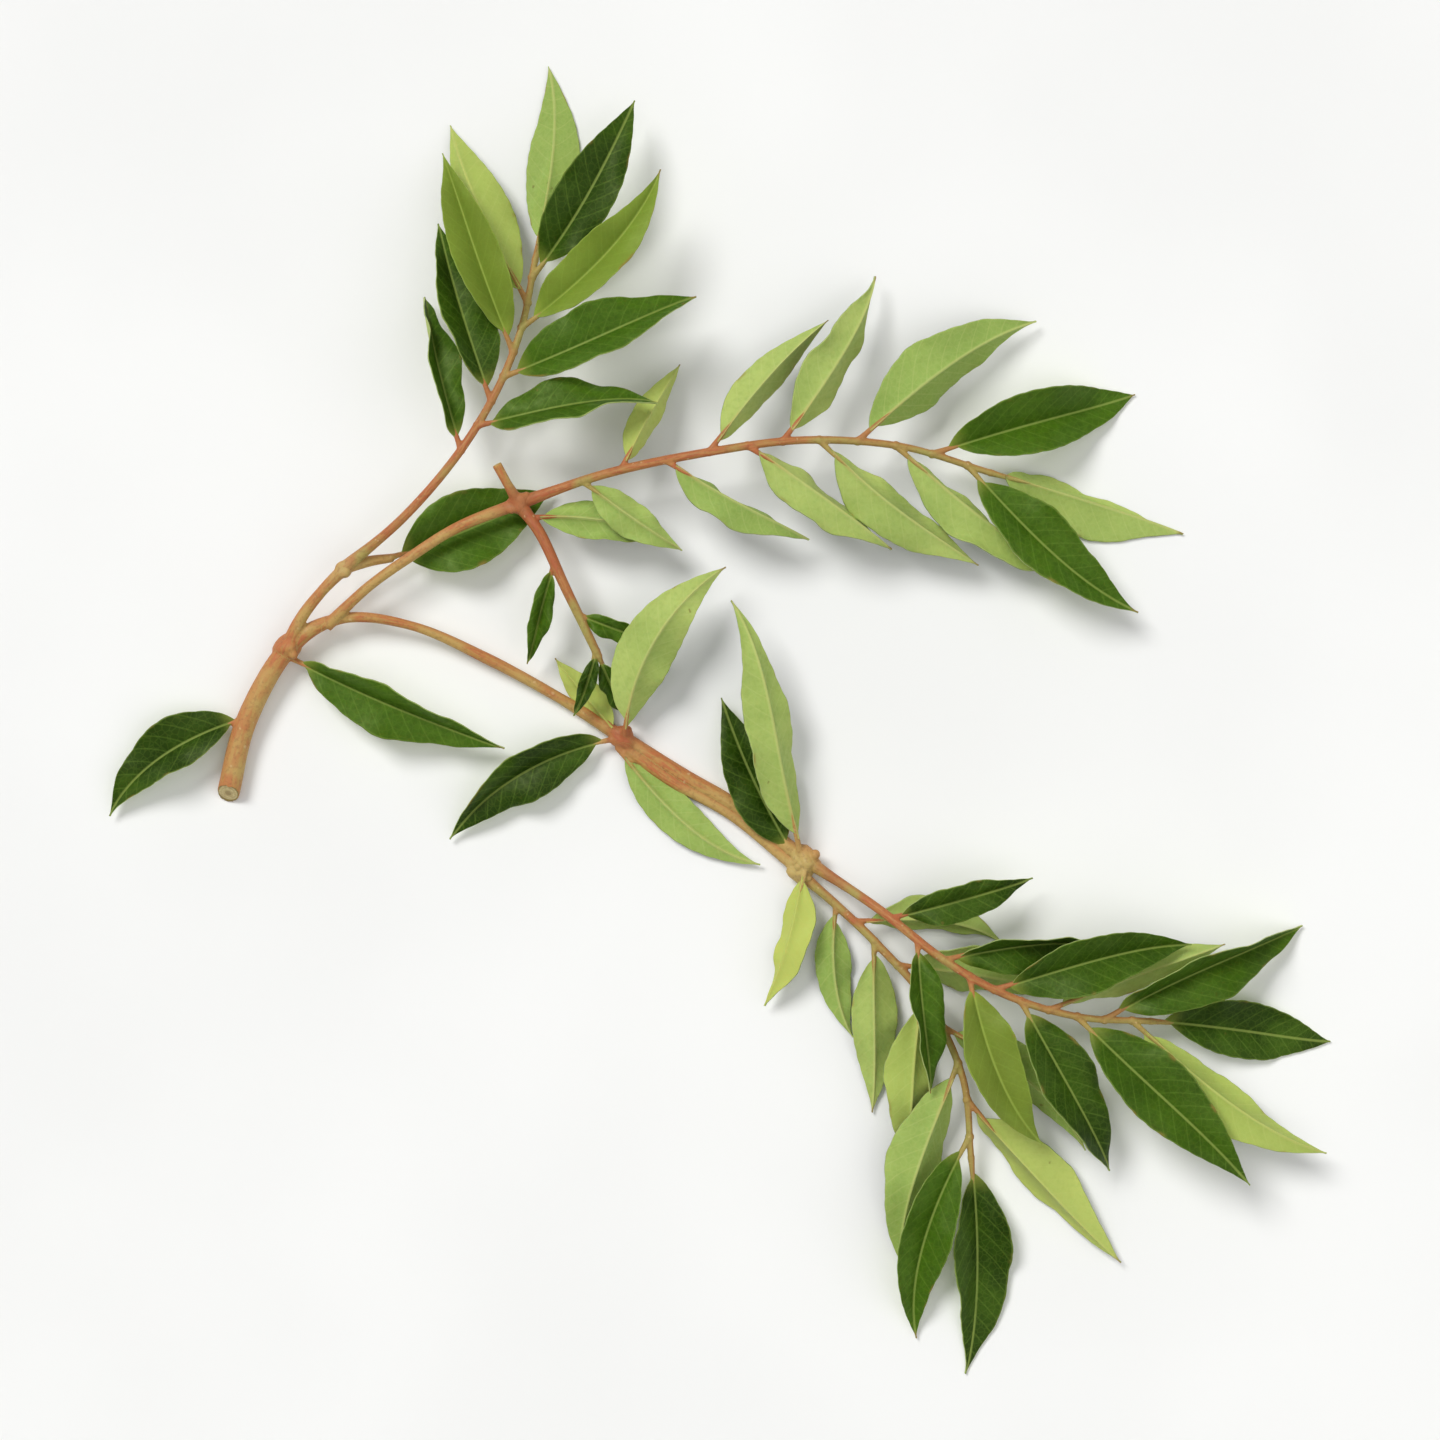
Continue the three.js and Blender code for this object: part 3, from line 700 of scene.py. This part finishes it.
def leaf_upper():
    n = Nodes("curry_leaf_upper_side")
    u, v, _, leaf = n.split("leaf_place")
    tone, share, edge, _ = n.split("leaf_tone")
    age = n.split("leaf_age")[0]
    blotch = n.noise(leaf, 0.16, 3)
    fine = n.noise(leaf, 1.4, 3)
    base = n.mix(n.steps(tone, 0.05, 0.95), srgb(30, 54, 2), srgb(64, 98, 14))
    base = n.mix(n.steps(blotch, 0.35, 0.7, 0, 0.4), base, srgb(78, 112, 22))
    base = n.mix(n.steps(fine, 0.3, 0.75, 0, 0.3), base, srgb(22, 44, 2))
    net = n.steps(n.cells(leaf, 1.5), 0, 0.12, 1, 0)
    base = n.mix(n.math("MULTIPLY", net, 0.1), base, srgb(120, 148, 60))
    veins = n.math("MULTIPLY", vein_lines(n, u, v, 0.09), 0.2)
    base = n.mix(veins, base, srgb(116, 146, 56))
    rib = n.steps(n.math("ABSOLUTE", v), 0.06, 0.22, 0.55, 0)
    base = n.mix(rib, base, srgb(146, 162, 80))
    base = n.mix(n.steps(edge, 0.94, 1, 0, 0.5), base, srgb(138, 162, 76))
    base = n.mix(n.steps(share, 0.07, 0.18, 0.5, 0), base, srgb(146, 154, 66))
    base = n.mix(age, base, srgb(166, 186, 74))
    base = blemishes(n, base, leaf, share, edge, tone)
    relief = n.math("ADD", n.math("MULTIPLY", n.cells(leaf, 1.5), 0.5), n.math("MULTIPLY", fine, 0.4))
    n.bump(relief, 0.35, 0.0001)
    return n.finish(Base_Color=base, Roughness=n.steps(fine, 0.2, 0.8, 0.4, 0.56), Subsurface_Weight=0.06,
                    Subsurface_Scale=0.0006, Specular_IOR_Level=0.22, Specular_Tint=(0.88, 1, 0.5, 1))


def leaf_under():
    n = Nodes("curry_leaf_under_side")
    u, v, _, leaf = n.split("leaf_place")
    tone, share, edge, _ = n.split("leaf_tone")
    age = n.split("leaf_age")[0]
    blotch = n.noise(leaf, 0.14, 3)
    fine = n.noise(leaf, 1.7, 4)
    base = n.mix(n.steps(tone, 0, 1), srgb(148, 174, 86), srgb(174, 191, 104))
    base = n.mix(n.steps(blotch, 0.35, 0.7, 0, 0.45), base, srgb(130, 158, 72))
    base = n.mix(n.steps(n.cells(leaf, 1.5), 0, 0.14, 0.14, 0), base, srgb(182, 194, 118))
    base = n.mix(n.steps(fine, 0.4, 0.8, 0, 0.25), base, srgb(114, 142, 62))
    veins = n.math("MULTIPLY", vein_lines(n, u, v, 0.08), 0.26)
    base = n.mix(veins, base, srgb(186, 196, 118))
    rib = n.steps(n.math("ABSOLUTE", v), 0.1, 0.28, 0.6, 0)
    base = n.mix(rib, base, srgb(188, 194, 118))
    foot = n.math("MULTIPLY", rib, n.steps(share, 0.07, 0.35, 0.7, 0))
    base = n.mix(foot, base, srgb(184, 136, 82))
    base = n.mix(age, base, srgb(190, 198, 98))
    base = blemishes(n, base, leaf, share, edge, tone)
    relief = n.math("ADD", n.math("MULTIPLY", fine, 0.6), n.math("MULTIPLY", n.cells(leaf, 1.5), 0.5))
    n.bump(relief, 0.4, 0.0001)
    return n.finish(Base_Color=base, Roughness=n.steps(fine, 0.2, 0.8, 0.55, 0.68), Subsurface_Weight=0.1,
                    Subsurface_Scale=0.0006, Specular_IOR_Level=0.22, Specular_Tint=(0.96, 1, 0.8, 1))


def blemishes(n, base, leaf, share, edge, tone):
    """Few small ragged specks in patches, a browned stretch of margin and a dry tip on some leaflets."""
    ragged = n.warped(leaf, 2.2, 0.5)
    speck = n.steps(n.cells(ragged, 0.42, "F1"), 0.04, 0.11, 0.6, 0)
    patch = n.steps(n.noise(leaf, 0.11, 1), 0.56, 0.64)
    base = n.mix(n.math("MULTIPLY", speck, patch), base, srgb(112, 92, 44))
    stretches = n.steps(n.noise(leaf, 0.3, 2), 0.6, 0.72, 0, 0.75)
    browned = n.math("MULTIPLY", n.steps(edge, 0.86, 1), stretches)
    base = n.mix(browned, base, srgb(142, 112, 58))
    dry = n.math("MULTIPLY", n.steps(share, 0.95, 0.99), n.steps(tone, 0.55, 0.75, 0, 0.8))
    return n.mix(dry, base, srgb(136, 104, 58))


def leaf_margin():
    n = Nodes("curry_leaf_margin")
    _, _, _, leaf = n.split("leaf_place")
    fine = n.noise(leaf, 1.2, 2)
    base = n.mix(n.steps(fine, 0.3, 0.7), srgb(140, 162, 84), srgb(170, 182, 108))
    return n.finish(Base_Color=base, Roughness=0.5)


def stem_skin(name, main, streak_and_shade_flank, young, young_from, lenticels):
    """Bark that runs in streaks along a stem, redder where it is old and greener towards its tip. One flank
    is redder: partly the stem's own reddening, partly painted shade that leaves the other flank as a
    painted lit side.
    """
    n = Nodes(name)
    walked, angle, number, _ = n.split("stem_place")
    blush = n.split("stem_spot")[0]
    share = n.math("MULTIPLY", n.math("FRACT", n.math("DIVIDE", number, STEM_STEP)), STEM_STEP)
    lengthways = n.vector(
        n.math("MULTIPLY", walked, 0.22), n.math("COSINE", angle), n.math("SINE", angle))
    streaks = n.noise(lengthways, 2.4, 4, 0.6)
    patches = n.noise(n.place(), 150, 3)
    fine = n.noise(n.place(), 2600, 2)
    base = n.mix(n.steps(streaks, 0.42, 0.58), main, streak_and_shade_flank)
    base = n.mix(n.steps(patches, 0.45, 0.62, 0, 0.75), base, young)
    base = n.mix(n.steps(share, young_from, 1, 0, 0.7), base, young)
    # painted shade: one flank of every stem is mixed towards the red streak colour, partly the stem's own
    # reddening, so that the paler other flank reads as a painted lit side
    base = n.mix(n.steps(n.math("COSINE", angle), -1, 0, 0.6, 0), base, streak_and_shade_flank)
    base = n.mix(n.steps(blush, 0, 1, 0, 0.75), base, srgb(164, 86, 54))
    base = n.mix(n.steps(blush, -1, 0, 0.7, 0), base, srgb(190, 170, 106))
    base = n.mix(n.steps(fine, 0.5, 0.7, 0, 0.3), base, srgb(126, 82, 52))
    dots = n.steps(n.cells(n.warped(n.place(), 900, 0.0006), lenticels, "F1"), 0.07, 0.14, 0.45, 0)
    base = n.mix(dots, base, srgb(214, 186, 136))
    relief = n.math("ADD", n.math("MULTIPLY", streaks, 0.8), n.math("MULTIPLY", dots, 0.6))
    n.bump(n.math("ADD", relief, n.math("MULTIPLY", fine, 0.25)), 0.6, 0.00015)
    rough = n.steps(streaks, 0.3, 0.7, 0.46, 0.64)
    return n.finish(Base_Color=base, Roughness=rough, Subsurface_Weight=0.05, Subsurface_Scale=0.0004,
                    Specular_IOR_Level=0.3)


def cut_wood():
    """The cut face: green-brown bark at its rim, pale wood in faint rings, and a soft pith."""
    n = Nodes("curry_twig_cut_end")
    radius = n.split("stem_spot")[1]
    fine = n.noise(n.place(), 3200, 3)
    rings = n.math("SINE", n.math("MULTIPLY", radius, 22.0))
    base = n.mix(n.steps(rings, -1, 1, 0, 0.5), srgb(206, 190, 138), srgb(178, 158, 102))
    base = n.mix(n.steps(fine, 0.4, 0.65, 0, 0.5), base, srgb(160, 132, 84))
    base = n.mix(n.steps(radius, 0.24, 0.34, 0.8, 0), base, srgb(146, 124, 76))
    base = n.mix(n.steps(radius, 0.78, 0.9), base, srgb(138, 118, 62))
    n.bump(n.math("ADD", fine, n.math("MULTIPLY", rings, 0.3)), 0.6, 0.0001)
    return n.finish(Base_Color=base, Roughness=0.75)


def table_top():
    n = Nodes("pale_table")
    fine = n.noise(n.place(), 18, 2)
    base = n.mix(n.steps(fine, 0.3, 0.7), srgb(238, 238, 236), srgb(243, 243, 241))
    return n.finish(Base_Color=base, Roughness=0.7)


LEAF_UPPER = leaf_upper()
LEAF_UNDER = leaf_under()
LEAF_MARGIN = leaf_margin()
CUT_WOOD = cut_wood()
TWIG_BARK = stem_skin("curry_twig_bark", srgb(184, 138, 76), srgb(182, 110, 64), srgb(188, 160, 92),
                      young_from=0.92, lenticels=620)
RACHIS_SKIN = stem_skin("curry_rachis_skin", srgb(180, 124, 70), srgb(174, 98, 58), srgb(162, 158, 84),
                        young_from=0.4, lenticels=900)


# ---- Pieces ----
def keep(piece, node):
    """Puts a piece on the sprig's body, in the place of a node of the frame."""
    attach(piece, "root")
    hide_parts(node)


def build_twig():
    leaflets = [dict(leaflet, phase=number) for number, leaflet in enumerate(TWIG_LEAFLETS)]
    stems = [
        (TWIG_PATH, TWIG_RADII),
        (PARTNER_PATH, PARTNER_RADII),
        (SIDE_TWIG_PATH, SIDE_TWIG_RADII),
        (FORK_PATH, FORK_RADII),
        (SPUR_PATH, SPUR_RADII),
        (STUB_PATH, STUB_RADII),
    ]
    solids = [tube(*stems[0], TWIG_RINGS, lean=CUT_LEAN)]
    solids += [tube(path, radii, RINGS_PER_SPAN * (len(path) - 1)) for path, radii in stems[1:]]
    solids += [ball(place, radius, heading=heading, stretch=NODE_STRETCH, lumps=NODE_LUMPS)
               for place, radius, heading in SWELLINGS]
    solids += [ball(place, radius) for place, radius in BUDS]
    solids += [stalk(leaflet) for leaflet in leaflets]
    bark = melted("twig_bark", solids, TWIG_VOXEL)
    mark_stem(bark, stems)
    bark.data.materials.append(TWIG_BARK)
    bark.data.materials.append(CUT_WOOD)
    mark_cut(bark, TWIG_PATH, TWIG_RADII[0], 0)
    mark_cut(bark, STUB_PATH, STUB_RADII[-1], 1)
    keep(bark, "leafy_twig")
    keep(blades_object("twig_leaflets", leaflets, 0), "leafy_twig")


def build_frond(frond, number):
    leaflets = leaflets_of(frond)
    shares = np.linspace(0, 1, RACHIS_STATIONS)
    radii = RACHIS_FOOT + (RACHIS_TIP - RACHIS_FOOT) * shares
    radii = radii + RACHIS_SWELLING * np.maximum(0, 1 - shares / RACHIS_FOOT_SHARE)
    radii = radii * frond.get("stout", 1)
    solids = [tube(frond["path"], radii, RACHIS_RINGS, RACHIS_SIDES)]
    solids += [stalk(leaflet) for leaflet in leaflets]
    solids += [ball(leaflet["at"], STALK_BUMP, rings=8, sides=12) for leaflet in leaflets[:-1]]
    rachis = melted(frond["name"] + "_rachis", solids, RACHIS_VOXEL)
    mark_stem(rachis, [(frond["path"], radii)])
    rachis.data.materials.append(RACHIS_SKIN)
    keep(rachis, frond["name"])
    blades = blades_object(frond["name"] + "_leaflets", leaflets, FROND_NUMBERS * (number + 1))
    keep(blades, frond["name"])


build_twig()
for number, frond in enumerate(FRONDS):
    build_frond(frond, number)


# ---- Table, light and camera ----
def light(name, place, spread, strength):
    """A broad soft light from the side of a place, even over the whole table: a wide sun."""
    lamp = bpy.data.lights.new(name, "SUN")
    lamp.angle = math.radians(spread)
    lamp.energy = strength
    holder = bpy.data.objects.new(name, lamp)
    holder.location = place
    holder.rotation_euler = (-Vector(place)).to_track_quat("-Z", "Y").to_euler()
    bpy.context.scene.collection.objects.link(holder)


def build_table():
    """A broad round table that sweeps up into a low wall all round, so that no horizon shows."""
    bend = np.linspace(0, math.pi / 2, SWEEP_STEPS + 1)
    reach = np.concatenate([[TABLE_REACH / 2, TABLE_REACH * 0.95], TABLE_REACH + SWEEP * np.sin(bend)])
    rise = np.concatenate([[0, 0], SWEEP * (1 - np.cos(bend))])
    angle = np.linspace(0, 2 * math.pi, TABLE_SIDES, endpoint=False)
    ring = np.stack([np.outer(reach, np.cos(angle)), np.outer(reach, np.sin(angle)),
                     np.outer(rise, np.ones(TABLE_SIDES))], -1)
    faces = [tuple(range(TABLE_SIDES))]
    for i in range(len(reach) - 1):
        for j in range(TABLE_SIDES):
            a, b = i * TABLE_SIDES + j, i * TABLE_SIDES + (j + 1) % TABLE_SIDES
            faces.append((a, a + TABLE_SIDES, b + TABLE_SIDES, b))
    table = add_object("table", ring.reshape(-1, 3), faces)
    table.data.materials.append(table_top())


def build_stage():
    low, high = CAD_BOX
    middle = (low + high) / 2
    build_table()
    for lamp in LIGHTS:
        light(*lamp)
    world = bpy.context.scene.world or bpy.data.worlds.new("studio")
    bpy.context.scene.world = world
    world.use_nodes = True
    sky = world.node_tree.nodes["Background"]
    sky.inputs["Color"].default_value = SKY_COLOUR
    sky.inputs["Strength"].default_value = SKY_STRENGTH
    lens = bpy.data.cameras.new("camera")
    lens.lens = LENS
    lens.sensor_width = SENSOR
    lens.clip_start, lens.clip_end = 0.01, 10
    camera = bpy.data.objects.new("camera", lens)
    span = max(high.x - low.x, high.y - low.y) * VIEW_MARGIN
    camera.location = (middle.x, middle.y, span * LENS / SENSOR)
    bpy.context.scene.collection.objects.link(camera)
    bpy.context.scene.camera = camera
    bpy.context.scene.view_settings.view_transform = "Standard"


build_stage()
